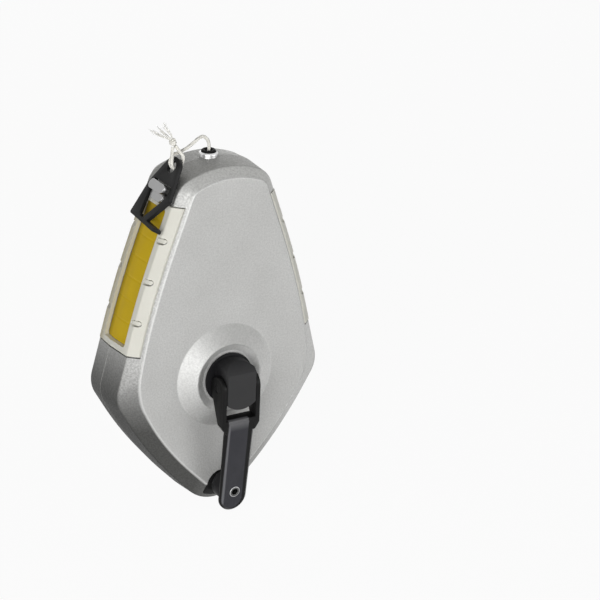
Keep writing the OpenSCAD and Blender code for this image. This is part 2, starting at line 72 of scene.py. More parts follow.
# Case: x, z and radius of each corner of the right half from the top down, and which of them is the elbow
CORNERS = [
    (0, 82.5, 37.4), (18.7, 74.6, 10), (32.6, 36.5, 350),
    (43.2, -4.8, 12), (28, -30, 150), (0, -58.2, 15),
]
ELBOW = 3
CASE_DEPTH, FRONT_RIM, SEAM, REAR_RIM = 30.0, -25.4, -14.0, -5.4
PLATE_INSET, PLATE_LIFT, DRAFT, WALL, BEVEL_SHARE = 5.4, 1.7, 0.6, 2.4, 0.42
PLATE_ROUND, RIM_ROUND, REAR_ROUND, BACK_ROUND = 0.8, 1.0, 2.0, 1.1
PLATE_LAP, INNER_EASE, PARTING = 3.0, 0.3, 0.12

# Elbows of the plates: extra inset, its spread in height, where it starts in width, and radius
ELBOW_EASE, ELBOW_SPREAD, ELBOW_FROM, ELBOW_R = 1.5, 15.0, 20.0, 24.0

# Boss and crater round the crank, and the bosses inside that hold the bushes
BOSS_START, BOSS_FOOT, CRATER_RIM, CRATER_FLOOR, BORE_R = 21.4, 19.6, 13.2, 10.4, 5.0
BOSS_Y, CRATER_Y = -33.7, -32.2
BOSS_ROUNDS = [0.8, 0.6, 0.8]
FRONT_BOSS_R, FRONT_BOSS_Y, INNER_R = 9.0, -27.0, 20.0
REAR_BOSS_R, REAR_BOSS_Y, REAR_BORE_Y, BACK_R = 8.0, -3.4, -1.2, 4.0

# Side panels, windows, pockets and clips: depths by side where the two differ
LEFT, RIGHT = -1, 1
PANEL_Y, PANEL_Z = (-28.7, -1.3), (12.5, 67.0)
PANEL_GAP, PANEL_FOOT_GAP, PANEL_TOP_GAP = 0.15, 0.5, 0.2
PANEL_PROUD, PANEL_UNDER, RECESS, CLEAR = 0.3, 1.15, 1.2, 3.0
WINDOW_Y = {LEFT: (-22.8, -8.4), RIGHT: (-24.4, -11.4)}
WINDOW_X, WINDOW_Z, WINDOW_ROUND = (8.0, 60.0), (15.0, 65.0), 1.2
POCKET_FRONT, POCKET_REAR = {LEFT: (-27.4, -23.1), RIGHT: (-27.4, -24.5)}, (-7.6, 1.0)
POCKET_Z, POCKET_R, POCKET_UNDER = (24.9, 39.9, 54.7), 1.15, 1.3
CLIP_R, CLIP_GAP = 0.7, 0.45

# Window strip: its gap to the window, its depths under the skin, and the lines across it
STRIP_GAP, STRIP_UNDER = 0.02, (1.4, 3.9)
STRIP_LINES, STRIP_STEP, STRIP_GROOVE, STRIP_SPREAD = 6, 7.5, 0.12, 0.35

# Holes: nozzle on the seam, screws in the back, and the arch of the knob's seat
NOZZLE_R, NOZZLE_Z = 3.45, (66.0, 95.0)
SCREW_R, SCREW_Y, SCREW_SPOTS = 2.9, (-2.3, 5.0), ((0, -41), (12.5, 58), (-12.5, 58))
SEAT_R, SEAT_Z, SEAT_Y, SEAT_FOOT = 5.8, -44.0, (-40.0, -27.0), -80.0

# Crank: heights of the lever's bend and end centre, its half width, its face's shift and the hub's front
LEVER_TOP, LEVER_END, LEVER_HALF, LEVER_SHIFT, HUB_FRONT = -12.9, -45.6, 5.6, 0.9, -42.8
RIVET_EDGE, RIVET_WELL = 1.85, 1.2

# Line, with its route and those of the loop, the knot and the frayed ends
LINE_D = 1.3
LINE_ROUTE = [
    (26.6, -14, 9), (17, -14, 33), (6.8, -14, 57), (2.2, -14, 67.5), (0.4, -14, 72), (0, -14, 75.5),
    (0, -14, 79), (0.1, -14, 82.6), (-0.7, -14.1, 85.4), (-2.6, -14.3, 86.9), (-5, -14.6, 86.4),
    (-8.6, -15, 84.4), (-12.6, -15.8, 83.2), (-16.2, -16.7, 82.8), (-17.65, -17.3, 80.75),
    (-17.15, -17.3, 78.95), (-16.25, -17.3, 78.35), (-15.05, -17.3, 77.65),
]
LOOP_ROUTE = [
    (-16.8, -17.5, 86.2), (-17.5, -18.4, 83.8), (-18.05, -19.2, 81.15), (-17.15, -19, 78.95),
    (-16.25, -18.9, 78.35), (-14.95, -18.9, 77.95), (-13.85, -18.9, 79.75), (-13, -18.4, 82.1),
    (-14.2, -17.5, 84.5), (-15.6, -17, 86.3),
]
KNOT_AT, KNOT_LEAN = np.array([-16.73, -17.25, 87.95]), math.radians(-22)
FRAY_ROUTES = [
    [(-16.85, -17.2, 89.3), (-17.7, -17.2, 91.2), (-19.4, -17, 93.6), (-20.6, -17, 96.2)],
    [(-17.4, -17.3, 89.2), (-19.1, -17.5, 90.8), (-21.2, -17.8, 92.7), (-23.2, -18, 95)],
    [(-17.85, -17.2, 89.05), (-20, -17.1, 90.1), (-22.6, -16.8, 91.6), (-25.4, -16.6, 93.6)],
]

# Wound line: depths and radii of its core, then the outer layer's loops and its gaps to core and flanges
SPOOL_Y, PACK_R, PACK_BORE_R, PACK_RIPPLE = (-24.0, -6.0), 24.0, 8.0, 0.35
WIND_LOOPS, WIND_STEPS, WIND_SIDES, WIND_GAP, WIND_END = 9, 72, 24, 0.1, 0.3

# Felt wiper in the nozzle
FELT_BORE_R, FELT_R, FELT_Z, FELT_ROUND = 1.25, 2.35, (73.5, 76.9), 0.3

TINY = 1e-6


# Materials


class Wire:
    """An output socket of a graph. The operators add Math nodes."""

    def __init__(self, graph, socket):
        self.graph, self.socket = graph, socket

    def math(self, operation, other=0.0):
        """Math node on this wire and another value."""
        return self.graph.math(operation, self, other)

    def __add__(self, other):
        return self.math("ADD", other)

    def __sub__(self, other):
        return self.math("SUBTRACT", other)

    def __rsub__(self, other):
        return self.graph.math("SUBTRACT", other, self)

    def __mul__(self, other):
        return self.math("MULTIPLY", other)

    def __truediv__(self, other):
        return self.math("DIVIDE", other)

    def __rtruediv__(self, other):
        return self.graph.math("DIVIDE", other, self)

    __radd__, __rmul__ = __add__, __mul__


class Graph:
    """A node tree of a material or the world."""

    def __init__(self, tree):
        self.tree = tree

    def node(self, kind, settings=None, inputs=None, out=0):
        """Adds a node: its settings are set first, then values or wires go to its sockets."""
        made = self.tree.nodes.new(kind)
        for key, value in (settings or {}).items():
            if key == "stops":
                for stop, (at, tint) in zip(made.color_ramp.elements, value):
                    stop.position, stop.color = at, tint
            else:
                setattr(made, key, value)
        for key, value in (inputs or {}).items():
            if isinstance(value, Wire):
                self.tree.links.new(value.socket, made.inputs[key])
            else:
                made.inputs[key].default_value = value
        return Wire(self, made.outputs[out])

    def math(self, operation, first, second):
        """Math node on two values or wires."""
        return self.node("ShaderNodeMath", {"operation": operation}, {0: first, 1: second})


class Finish(Graph):
    """A material around one Principled shader. Constants are set on its own sockets."""

    def __init__(self, name, **constants):
        self.mat = bpy.data.materials.new(name)
        self.mat.use_nodes = True
        super().__init__(self.mat.node_tree)
        self.shader = self.tree.nodes["Principled BSDF"]
        self.place = self.node("ShaderNodeTexCoord", out="Object")
        for socket, value in constants.items():
            self.shader.inputs[socket.replace("_", " ")].default_value = value

    def noise(self, scale, detail=2.0, roughness=0.5):
        """Noise on object coordinates, with scale in features per metre."""
        sockets = {"Vector": self.place, "Scale": scale, "Detail": detail, "Roughness": roughness}
        return self.node("ShaderNodeTexNoise", None, sockets)

    def ramp(self, value, *stops):
        """Colour ramp over a value through stops of (place, colour)."""
        return self.node("ShaderNodeValToRGB", {"stops": stops}, {0: value})

    def along(self, axis):
        """Object coordinate along one axis, in metres."""
        return self.node("ShaderNodeSeparateXYZ", None, {0: self.place}, out="XYZ".index(axis))

    def span(self, length, low, high):
        """Share of the way of a length in metres from low to high millimetres, held at 0 and 1."""
        sockets = {"Value": length, "From Min": low * MM, "From Max": high * MM}
        return self.node("ShaderNodeMapRange", None, sockets)

    def blend(self, share, first, second):
        """Mix of two colours by share, on the Mix node's colour sockets."""
        return self.node("ShaderNodeMix", {"data_type": "RGBA"}, {0: share, 6: first, 7: second}, out=2)

    def bump(self, height, strength, distance=0.1):
        """Bump from a height wire, with distance in millimetres."""
        sockets = {"Height": height, "Strength": strength, "Distance": distance * MM}
        return self.node("ShaderNodeBump", None, sockets)

    def feed(self, **wires):
        """Links wires to the shader's sockets and gives the finished material."""
        for socket, wire in wires.items():
            self.tree.links.new(wire.socket, self.shader.inputs[socket.replace("_", " ")])
        return self.mat


def colour(*rgb):
    """Opaque colour."""
    return (*rgb, 1.0)


def grey(level, blue=None):
    """Grey of one level, a little warm or cold where blue has its own."""
    return colour(level, level, level if blue is None else blue)


def boss_painted_light(f, across, height):
    """Where the boss's cone is, and its tone, which follows the photo: painted highlights to either side and
    painted shade above and below, by the cosine of twice the angle from a line that leans from level,
    ((x^2 - z^2) c - 2 x z s) / r^2."""
    twice_lean = math.radians(30)
    squared = across * across + height * height
    level = (across * across - height * height) * math.cos(twice_lean)
    swing = level - across * height * (2 * math.sin(twice_lean))
    radius = squared.math("SQRT")
    place = f.span(radius, BOSS_FOOT + 0.4, BOSS_FOOT) * f.span(radius, CRATER_RIM - 0.8, CRATER_RIM - 0.2)
    return place, f.blend(swing / squared * 0.5 + 0.5, grey(0.41, 0.40), grey(0.74, 0.725))


def bevel_skin_and_painted_light(f, across, height):
    """Bevel round the plate in painted light: lighter to the top and most to the right, with painted shade
    darkest at the lower left.
    """
    left = f.span(across, 14, -10)
    # Painted shade at the lower left; painted light, lighter to the top and to the right.
    low = f.span(height, 10, -18) * (left * 0.95 + 0.05)
    tone = f.blend(f.span(height, 0, 75), grey(0.36, 0.352), grey(0.46, 0.448))
    tone = f.blend(low, tone, grey(0.10, 0.096))
    return f.blend(f.span(across, 16, 30), tone, grey(0.54, 0.53))


def wall_skin_and_painted_shade(f, depth, height):
    """Walls: darker cast skin with painted shade near black at the lower end and painted light lightest just
    below the panels, with a lighter line along the seam."""
    # Painted shade near black at the lower end, painted light lightest just below the panels.
    high, rise = f.span(height, 0, 75), f.span(height, -13, 14)
    seam = f.span((depth - SEAM * MM).math("ABSOLUTE"), 0.5, 0.2)
    tone = f.blend(high, grey(0.38, 0.37), grey(0.27, 0.26))
    tone = f.blend(rise * rise, grey(0.050, 0.048), tone)
    return f.blend(seam * 0.35, tone, f.blend(high, grey(0.26, 0.25), grey(0.52, 0.51)))


def cast_metal():
    """Die casting: bright blasted plate, a boss in painted light and a painted highlight along the rim,
    darker cast skin on bevel and walls with painted light and shade over it.
    """
    f = Finish("cast_metal", IOR=1.45)
    across, depth, height = (f.along(axis) for axis in "XYZ")
    grain = f.ramp(f.noise(1500, 2, 0.6), (0.36, grey(0)), (0.64, grey(1)))
    cloud = f.noise(60, 3, 0.55)
    speck = f.noise(700, 2, 0.5)
    front = -CASE_DEPTH
    bevel = f.span(depth, front + 0.3, front + 0.7)
    wall = f.span(depth + cloud * (0.3 * MM), FRONT_RIM - 0.3, FRONT_RIM + 0.5)
    back = f.span(depth, -4, -1)
    # Painted highlight: a bright line along the plate's rim.
    rim = f.span(depth, front + 0.01, front + 0.07) * (1 - f.span(depth, front + 0.2, front + 0.4))
    # Painted highlights to either side of the boss's cone, painted shade above and below.
    boss, cone = boss_painted_light(f, across, height)
    plate = f.blend(cloud, grey(0.50, 0.488), grey(0.60, 0.588))
    plate = f.blend(boss * (1 - bevel), plate, cone)
    # Bevel and walls: a darker cast skin with painted light and shade over it.
    tone = f.blend(bevel, plate, bevel_skin_and_painted_light(f, across, height))
    tone = f.blend(wall, tone, wall_skin_and_painted_shade(f, depth, height))
    tone = f.blend(back, tone, grey(0.42, 0.41))
    tone = f.blend(grain * 0.45, tone, f.blend(0.3, tone, grey(0)))
    # Painted highlight along the plate's rim.
    tone = f.blend(rim * 0.5, tone, grey(0.74, 0.73))
    return f.feed(
        Base_Color=tone,
        Metallic=bevel * 0.7 + 0.2,
        Roughness=grain * 0.14 + cloud * 0.1 + bevel * 0.14 + 0.36,
        Normal=f.bump(grain + speck, 0.17, 0.16),
    )


def pale_moulding():
    """Pale moulding with a soft sheen, slightly warm, with painted shade, deeper in tone, along its rear
    edge.
    """
    f = Finish("pale_moulding", IOR=1.46)
    cloud = f.noise(90, 2, 0.5)
    fine = f.noise(1200, 2, 0.5)
    tone = f.blend(cloud, colour(0.67, 0.66, 0.585), colour(0.75, 0.74, 0.665))
    # Painted shade, olive, along the rear edge.
    tone = f.blend(f.span(f.along("Y"), -10, -6), tone, colour(0.44, 0.40, 0.27))
    return f.feed(Base_Color=tone, Roughness=fine * 0.12 + 0.36, Normal=f.bump(fine, 0.06))


def yellow_moulding():
    """Yellow window plastic with a little chalk haze, with painted shade, browner, towards its rear edge."""
    f = Finish("yellow_moulding", IOR=1.46, Specular_IOR_Level=0.2)
    haze = f.noise(120, 4, 0.6)
    fine = f.noise(1400, 2, 0.5)
    rear = WINDOW_Y[LEFT][1]
    tone = f.blend(haze, colour(0.53, 0.355, 0.004), colour(0.64, 0.445, 0.012))
    # Painted shade, browner, towards the rear edge.
    tone = f.blend(f.span(f.along("Y"), rear - 2.8, rear - 0.2) * 0.65, tone, colour(0.14, 0.095, 0.004))
    return f.feed(Base_Color=tone, Roughness=haze * 0.2 + 0.35, Normal=f.bump(fine, 0.05))


def black_coat():
    """Satin black coat on stamped steel with faint orange peel."""
    f = Finish("black_coat", IOR=1.5, Specular_IOR_Level=0.14)
    peel = f.noise(900, 2, 0.5)
    cloud = f.noise(160, 3, 0.6)
    tone = f.blend(cloud, grey(0.008), grey(0.018))
    return f.feed(Base_Color=tone, Roughness=cloud * 0.16 + 0.34, Normal=f.bump(peel, 0.1, 0.12))


def lever_coat():
    """Lever coat: satin face with a painted highlight along its left rim and at the bend, and painted shade
    near black on its rolled edge, which is wider on the right, and over the rear of the bend."""
    f = Finish("lever_coat", IOR=1.5, Specular_IOR_Level=0.14)
    across, depth, up = f.along("X") + LEVER_SHIFT * MM, f.along("Y"), f.along("Z")
    below = (up - LEVER_END * MM).math("MINIMUM", 0.0)
    reach = (across * across + below * below).math("SQRT")
    peel = f.noise(900, 2, 0.5)
    cloud = f.noise(160, 3, 0.6)
    # Painted highlight along the left rim.
    painted_left_highlight = f.span(across, 2.4 - LEVER_HALF, 2.0 - LEVER_HALF)
    # Painted highlight at the bend.
    bend = f.span(up, LEVER_TOP - 4.2, LEVER_TOP - 1.2)
    # Painted shade, near black, on the rolled edge, wider on the right by the face's shift.
    edge = f.span(reach, LEVER_HALF - 1.6, LEVER_HALF - 1.3)
    # Painted shade over the rear of the bend.
    over = f.span(up, LEVER_TOP - 0.5, LEVER_TOP - 0.1) * f.span(depth, HUB_FRONT + 1.0, HUB_FRONT + 1.8)
    tone = f.blend(cloud, grey(0.034, 0.040), grey(0.046, 0.053))
    tone = f.blend(painted_left_highlight, tone, grey(0.15, 0.16))
    tone = f.blend(bend, tone, grey(0.13, 0.135))
    tone = f.blend(edge.math("MAXIMUM", over), tone, grey(0.006))
    return f.feed(Base_Color=tone, Roughness=cloud * 0.16 + 0.3, Normal=f.bump(peel, 0.1, 0.12))


def black_moulding(name, front=None):
    """Moulded black plastic with a fine spark texture, lighter satin towards the front
    where a front depth is given.
    """
    f = Finish(name, IOR=1.47, Specular_IOR_Level=0.14)
    spark = f.noise(2200, 2, 0.6)
    cloud = f.noise(140, 3, 0.55)
    tone = f.blend(cloud, grey(0.006, 0.007), grey(0.014, 0.015))
    if front is not None:
        front_share = f.span(f.along("Y") + cloud * (0.4 * MM), front + 6.0, front + 0.2)
        tone = f.blend(front_share, tone, grey(0.040, 0.041))
    return f.feed(Base_Color=tone, Roughness=spark * 0.14 + 0.42, Normal=f.bump(spark, 0.16, 0.12))


def rubber():
    """Dull black rubber with a fine grain."""
    f = Finish("rubber", IOR=1.5, Specular_IOR_Level=0.12)
    fine = f.noise(1600, 2, 0.6)
    tone = f.blend(fine, grey(0.005), grey(0.011))
    return f.feed(Base_Color=tone, Roughness=fine * 0.15 + 0.6, Normal=f.bump(fine, 0.15))


def plated_steel(name, level):
    """Plated steel with soft tumbling marks, about the given level of brightness."""
    f = Finish(name, Metallic=1.0)
    marks = f.noise(700, 4, 0.6)
    cloud = f.noise(200, 2, 0.5)
    tone = f.blend(cloud, grey(level * 0.9), grey(level * 1.1))
    return f.feed(Base_Color=tone, Roughness=marks * 0.25 + 0.2, Normal=f.bump(marks, 0.08))


def rivet_steel():
    """Hollow rivet: blackened ring with a painted highlight on its outer edge and painted shade in its well,
    by distance from the knob's leaning axis."""
    f = Finish("rivet_steel", Metallic=1.0)
    place, axis = joints["knob_spin"]["pos_m"], joints["knob_spin"]["axis"]
    marks = f.noise(900, 3, 0.6)
    across = f.along("X")
    up = f.along("Z") - place[2] - (f.along("Y") - place[1]) * (axis[2] / axis[1])
    radius = (across * across + up * up).math("SQRT")
    tone = f.blend(marks, grey(0.07), grey(0.14))
    # Painted highlight on the rivet's outer edge.
    tone = f.blend(f.span(radius, RIVET_EDGE - 0.1, RIVET_EDGE + 0.1), tone, grey(0.55))
    # Painted shade in the rivet's well.
    tone = f.blend(f.span(radius, RIVET_WELL + 0.05, RIVET_WELL - 0.05), tone, grey(0.004))
    return f.feed(Base_Color=tone, Roughness=marks * 0.2 + 0.3, Normal=f.bump(marks, 0.1))


def bush_metal():
    """Sintered bronze with fine pores."""
    f = Finish("bush_metal", Metallic=1.0)
    pores = f.noise(1800, 3, 0.6)
    tone = f.blend(pores, colour(0.42, 0.27, 0.12), colour(0.58, 0.40, 0.20))
    return f.feed(Base_Color=tone, Roughness=pores * 0.2 + 0.35, Normal=f.bump(pores, 0.1))


def cotton_line():
    """Twisted cotton: fuzzy fibre noise over an off-white tone."""
    f = Finish("cotton_line", Roughness=0.9, IOR=1.4, Sheen_Weight=0.3, Sheen_Roughness=0.5)
    fibre = f.noise(4200, 3, 0.65)
    cloud = f.noise(500, 2, 0.5)
    tone = f.blend(cloud, colour(0.82, 0.80, 0.73), colour(0.92, 0.91, 0.86))
    tone = f.blend(fibre * 0.3, tone, colour(0.66, 0.64, 0.57))
    return f.feed(Base_Color=tone, Normal=f.bump(fibre, 0.18))


def loose_fibre():
    """Single cotton fibres at the frayed ends, paler than the twisted line."""
    f = Finish("loose_fibre", Roughness=0.9, IOR=1.4, Sheen_Weight=0.4, Sheen_Roughness=0.5)
    return f.feed(Base_Color=f.blend(f.noise(800), colour(0.84, 0.83, 0.78), colour(0.94, 0.93, 0.89)))


def felt():
    """Pressed wool felt with a coarse fibre bump."""
    f = Finish("felt", Roughness=0.95, Sheen_Weight=0.4)
    wool = f.noise(3000, 4, 0.7)
    tone = f.blend(wool, colour(0.55, 0.53, 0.46), colour(0.80, 0.78, 0.70))
    return f.feed(Base_Color=tone, Normal=f.bump(wool, 0.5, 0.3))


CAST = cast_metal()
PALE = pale_moulding()
YELLOW = yellow_moulding()
COAT = black_coat()
LEVER = lever_coat()
HUB = black_moulding("hub_moulding", HUB_FRONT)
MOULD = black_moulding("black_moulding")
RUBBER = rubber()
STEEL = plated_steel("plated_steel", 0.66)
ZINC = plated_steel("dull_zinc", 0.34)
RIVET = rivet_steel()
BUSH = bush_metal()
COTTON = cotton_line()
FIBRE = loose_fibre()
FELT = felt()


# Meshes: degrees over which an edge stays sharp, and metres within which points become one

SHARP, WELD = 40, 1e-7


def piece(name, verts, faces, finish, body, node, slot, sharp=SHARP):
    """Makes a mesh object from points in millimetres, smooth but for edges over sharp degrees."""
    mesh = bpy.data.meshes.new(name)
    mesh.from_pydata((np.asarray(verts, float) * MM).tolist(), [], faces)
    made = bmesh.new()
    made.from_mesh(mesh)
    bmesh.ops.remove_doubles(made, verts=made.verts, dist=WELD)
    bmesh.ops.recalc_face_normals(made, faces=made.faces)
    made.to_mesh(mesh)
    made.free()
    obj = bpy.data.objects.new(name, mesh)
    bpy.context.scene.collection.objects.link(obj)
    dress(obj, finish, sharp)
    if body:
        settle(obj, body, node, slot)
    return obj


def dress(obj, finish, sharp):
    """Gives the object one finish and smooth shading split at sharp edges."""
    obj.data.materials.clear()
    obj.data.materials.append(finish)
    obj.data.polygons.foreach_set("use_smooth", np.ones(len(obj.data.polygons), bool))
    obj.data.set_sharp_from_angle(angle=math.radians(sharp))


def settle(obj, body, node, slot):
    """Rides the piece on a body, in the place of its CAD node where it has one."""
    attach(obj, body)
    if node:
        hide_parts(node)


def grid_faces(rows, cols, wrap_rows=False, wrap_cols=False):
    """Quads of a rows by cols grid, joined across either edge where asked."""
    i, j = np.meshgrid(
        np.arange(rows if wrap_rows else rows - 1), np.arange(cols if wrap_cols else cols - 1), indexing="ij"
    )
    a, b = i % rows * cols, (i + 1) % rows * cols
    c, d = j % cols, (j + 1) % cols
    return np.stack([a + c, a + d, b + d, b + c], -1).reshape(-1, 4).tolist()


def rings_solid(rings, wrap):
    """Closed solid through rings of equal count: wrapped round, or capped at both ends."""
    count, around = len(rings), len(rings[0])
    faces = grid_faces(count, around, wrap, True)
    if not wrap:
        faces += [list(range(around))[::-1], list(range((count - 1) * around, count * around))]
    return np.concatenate(rings), faces


def slab_solid(outer, inner):
    """Closed solid between two matching (rows, cols, 3) sheets."""
    rows, cols = outer.shape[:2]
    sheet = np.array(grid_faces(rows, cols))
    rim = np.concatenate(
        [np.arange(cols), np.arange(1, rows) * cols + cols - 1,
         (rows - 1) * cols + np.arange(cols - 2, -1, -1), np.arange(rows - 2, 0, -1) * cols]
    )
    after = np.roll(rim, -1)
    shift = rows * cols
    walls = np.stack([rim, after, after + shift, rim + shift], -1)
    faces = sheet.tolist() + (sheet[:, ::-1] + shift).tolist() + walls.tolist()
    return np.concatenate([outer.reshape(-1, 3), inner.reshape(-1, 3)]), faces


def joined(solids):
    """One list of points and faces from several solids."""
    starts = np.cumsum([0] + [len(verts) for verts, _ in solids])
    faces = [[i + start for i in face] for (_, some), start in zip(solids, starts) for face in some]
    return np.concatenate([verts for verts, _ in solids]), faces


def cut(obj, *solids, sharp=38):
    """Takes closed solids (points in millimetres, faces) out of the object's mesh and shades it again."""
    finish = obj.data.materials[0]
    for verts, faces in solids:
        tool = piece(f"{obj.name}_tool", verts, faces, finish, None, None, None)
        change = obj.modifiers.new("cut", "BOOLEAN")
        change.operation, change.solver, change.object = "DIFFERENCE", "EXACT", tool
        depsgraph = bpy.context.evaluated_depsgraph_get()
        mesh = bpy.data.meshes.new_from_object(obj.evaluated_get(depsgraph))
        obj.modifiers.clear()
        old, obj.data = obj.data, mesh
        bpy.data.meshes.remove(old)
        bpy.data.objects.remove(tool)
    dress(obj, finish, sharp)


def rounded(node, finish, width, slot, corner=28, flat=0.6, merge=0.002):
    """Copy of a CAD node, points closer than merge millimetres joined and faces within flat degrees made one,
    with its edges over corner degrees rounded to width millimetres."""
    source = nodes[node]
    made = bmesh.new()
    made.from_mesh(source.data)
    bmesh.ops.remove_doubles(made, verts=made.verts, dist=merge * MM)
    bmesh.ops.dissolve_limit(
        made, angle_limit=math.radians(flat), verts=made.verts, edges=made.edges,
        use_dissolve_boundaries=False,
    )
    edges = [e for e in made.edges if e.is_manifold and e.calc_face_angle(0) > math.radians(corner)]
    bmesh.ops.bevel(
        made, geom=edges, offset=width * MM, segments=3, profile=0.5, affect="EDGES", clamp_overlap=True
    )
    bmesh.ops.triangulate(made, faces=[f for f in made.faces if len(f.verts) > 4])
    mesh = bpy.data.meshes.new(f"{node}_piece")
    made.to_mesh(mesh)
    made.free()
    obj = bpy.data.objects.new(f"{node}_piece", mesh)
    bpy.context.scene.collection.objects.link(obj)
    dress(obj, finish, SHARP)
    settle(obj, source.parent.name.removeprefix("body:"), node, slot)


# Outlines and rings


def unit(v):
    """Vectors scaled to length 1."""
    return v / np.linalg.norm(v, axis=-1, keepdims=True)


def corner_arc(before, corner, after, r, steps):
    """Centre of the arc of radius r that touches both runs at a corner, and the unit ways from it to the
    arc's points."""
    u, v = unit(before - corner), unit(after - corner)
    half = math.acos(np.clip(u @ v, -1, 1)) / 2
    centre = corner + unit(u + v) * r / math.sin(half)
    start, end = corner + u * r / math.tan(half) - centre, corner + v * r / math.tan(half) - centre
    turn = math.atan2(start[0] * end[1] - start[1] * end[0], start @ end)
    angle = math.atan2(start[1], start[0]) + turn * np.linspace(0, 1, steps)
    return centre, np.stack([np.cos(angle), np.sin(angle)], -1)


def filleted(points, radii, steps=7):
    """Polyline with an arc of its own radius at each inner corner, left as it is where the radius is 0."""
    points = np.array(points, float)
    path = [points[:1]]
    for before, corner, after, r in zip(points, points[1:], points[2:], radii):
        if r:
            centre, way = corner_arc(before, corner, after, r, steps)
            path.append(centre + r * way)
        else:
            path.append(corner[None])
    return np.concatenate(path + [points[-1:]])


def rim_outline(elbow_r, arc_steps=17, run_steps=11):
    """Points and outward normals round the case in the XZ plane: an arc at each corner, runs between."""
    corners = [(x, z, elbow_r if k == ELBOW else r) for k, (x, z, r) in enumerate(CORNERS)]
    corners = np.array(corners + [(-x, z, r) for x, z, r in corners[-2:0:-1]], float)
    arcs = []
    for k, r in enumerate(corners[:, 2]):
        centre, way = corner_arc(*np.roll(corners[:, :2], 1 - k, 0)[:3], r, arc_steps)
        arcs.append((centre + r * way, way))
    run = np.linspace(0, 1, run_steps)[1:-1, None]
    points, normals = [], []
    for (arc, way), (following, _) in zip(arcs, arcs[1:] + arcs[:1]):
        points += [arc, arc[-1] * (1 - run) + following[0] * run]
        normals += [way, np.repeat(way[-1:], len(run), 0)]
    return np.concatenate(points), np.concatenate(normals)


RIM, RIM_OUT = rim_outline(CORNERS[ELBOW][2])
PLATE_RIM, PLATE_OUT = rim_outline(ELBOW_R)
RIM_ANGLE = np.arctan2(RIM[:, 1], RIM[:, 0])


def outline_at(inset, y):
    """Case outline at depth y moved inward by inset: towards the plates it lifts, its elbows grow rounder and
    it eases further in beside them."""
    share = np.clip(max((FRONT_RIM - y) / (FRONT_RIM + CASE_DEPTH), (y - REAR_RIM) / -REAR_RIM), 0, 1)
    rim, out = RIM + (PLATE_RIM - RIM) * share, unit(RIM_OUT + (PLATE_OUT - RIM_OUT) * share)
    bell = np.exp(-(((rim[:, 1] - CORNERS[ELBOW][1]) / ELBOW_SPREAD) ** 2)) * (np.abs(rim[:, 0]) > ELBOW_FROM)
    return rim - (inset + ELBOW_EASE * share * bell)[:, None] * out + [0, PLATE_LIFT * share]


def ring(inset, y):
    """Ring of the case outline moved inward by inset, at depth y."""
    flat = outline_at(inset, y)
    return np.stack([flat[:, 0], np.full(len(flat), y), flat[:, 1]], -1)


def circle(r, y, turn):
    """Ring of radius r about the spool's axis at depth y: a point at each angle of turn."""
    return np.stack([r * np.cos(turn), np.full(len(turn), y), r * np.sin(turn)], -1)


def disc_ring(r, y):
    """Circle with a point at the angle of each point of the case outline."""
    return circle(r, y, RIM_ANGLE)


def between(a, b, steps):
    """Rings that pass evenly from ring a to ring b, ends left out."""
    return [a + (b - a) * t for t in np.linspace(0, 1, steps + 2)[1:-1]]


def full_turn(count):
    """Even angles once round."""
    return np.linspace(0, 2 * math.pi, count, endpoint=False)


# Case, with rings across its outer and inner faces

FACE_RINGS, INNER_RINGS = 9, 6


def case_profile(e, parting=0.0):
    """Inset against depth for the case skin moved inward by e, from plate to back, with a V at the seam."""
    edge = PLATE_INSET + BEVEL_SHARE * e
    corners = [
        (edge + PLATE_LAP, e - CASE_DEPTH), (edge, e - CASE_DEPTH), (DRAFT + e, FRONT_RIM),
        (e, SEAM - PARTING), (e + parting, SEAM), (e, SEAM + PARTING),
        (DRAFT + e, REAR_RIM), (edge, -e), (edge + PLATE_LAP, -e),
    ]
    return filleted(corners, [PLATE_ROUND, RIM_ROUND, 0, 0, 0, REAR_ROUND, BACK_ROUND])


def front_case():
    """Outer skin from seam to plate, boss and crater turned about Y, then the inner skin back to the seam."""
    front, inside = -CASE_DEPTH, WALL - CASE_DEPTH
    skin = case_profile(0, PARTING)
    outer = [ring(d, y) for d, y in skin[skin[:, 1] <= SEAM + TINY][::-1]]
    flat = between(outer[-1], disc_ring(BOSS_START, front), FACE_RINGS)
    slope = [(BOSS_START, front), (BOSS_FOOT, front), (CRATER_RIM, BOSS_Y)]
    crater = [(CRATER_FLOOR, CRATER_Y), (BORE_R, CRATER_Y)]
    boss = [disc_ring(r, y) for r, y in filleted(slope + crater, BOSS_ROUNDS)]
    hollow = [(BORE_R, FRONT_BOSS_Y), (FRONT_BOSS_R, FRONT_BOSS_Y), (FRONT_BOSS_R, inside), (INNER_R, inside)]
    bore = [disc_ring(r, y) for r, y in hollow]
    inner_edge = ring(PLATE_INSET + INNER_EASE, inside)
    inner = between(bore[-1], inner_edge, INNER_RINGS)
    inner += [inner_edge, ring(WALL + INNER_EASE, FRONT_RIM), ring(WALL, SEAM)]
    return rings_solid(outer + flat + boss + bore + inner, True)


def rear_case():
    """Back face from its middle out to the seam, then the inner skin in to the bearing's boss."""
    skin = case_profile(0, PARTING)
    outer = [ring(d, y) for d, y in skin[skin[:, 1] >= SEAM - TINY][::-1]]
    middle = disc_ring(BACK_R, 0)
    back = [middle] + between(middle, outer[0], FACE_RINGS)
    hollow = [(REAR_BOSS_R, -WALL), (REAR_BOSS_R, REAR_BOSS_Y), (BORE_R, REAR_BOSS_Y), (BORE_R, REAR_BORE_Y)]
    bore = [disc_ring(r, y) for r, y in hollow]
    inner_edge = ring(PLATE_INSET + INNER_EASE, -WALL)
    inner = [ring(WALL, SEAM), ring(WALL + INNER_EASE, REAR_RIM), inner_edge]
    inner += between(inner_edge, bore[0], INNER_RINGS)
    return rings_solid(back + outer + inner + bore, False)


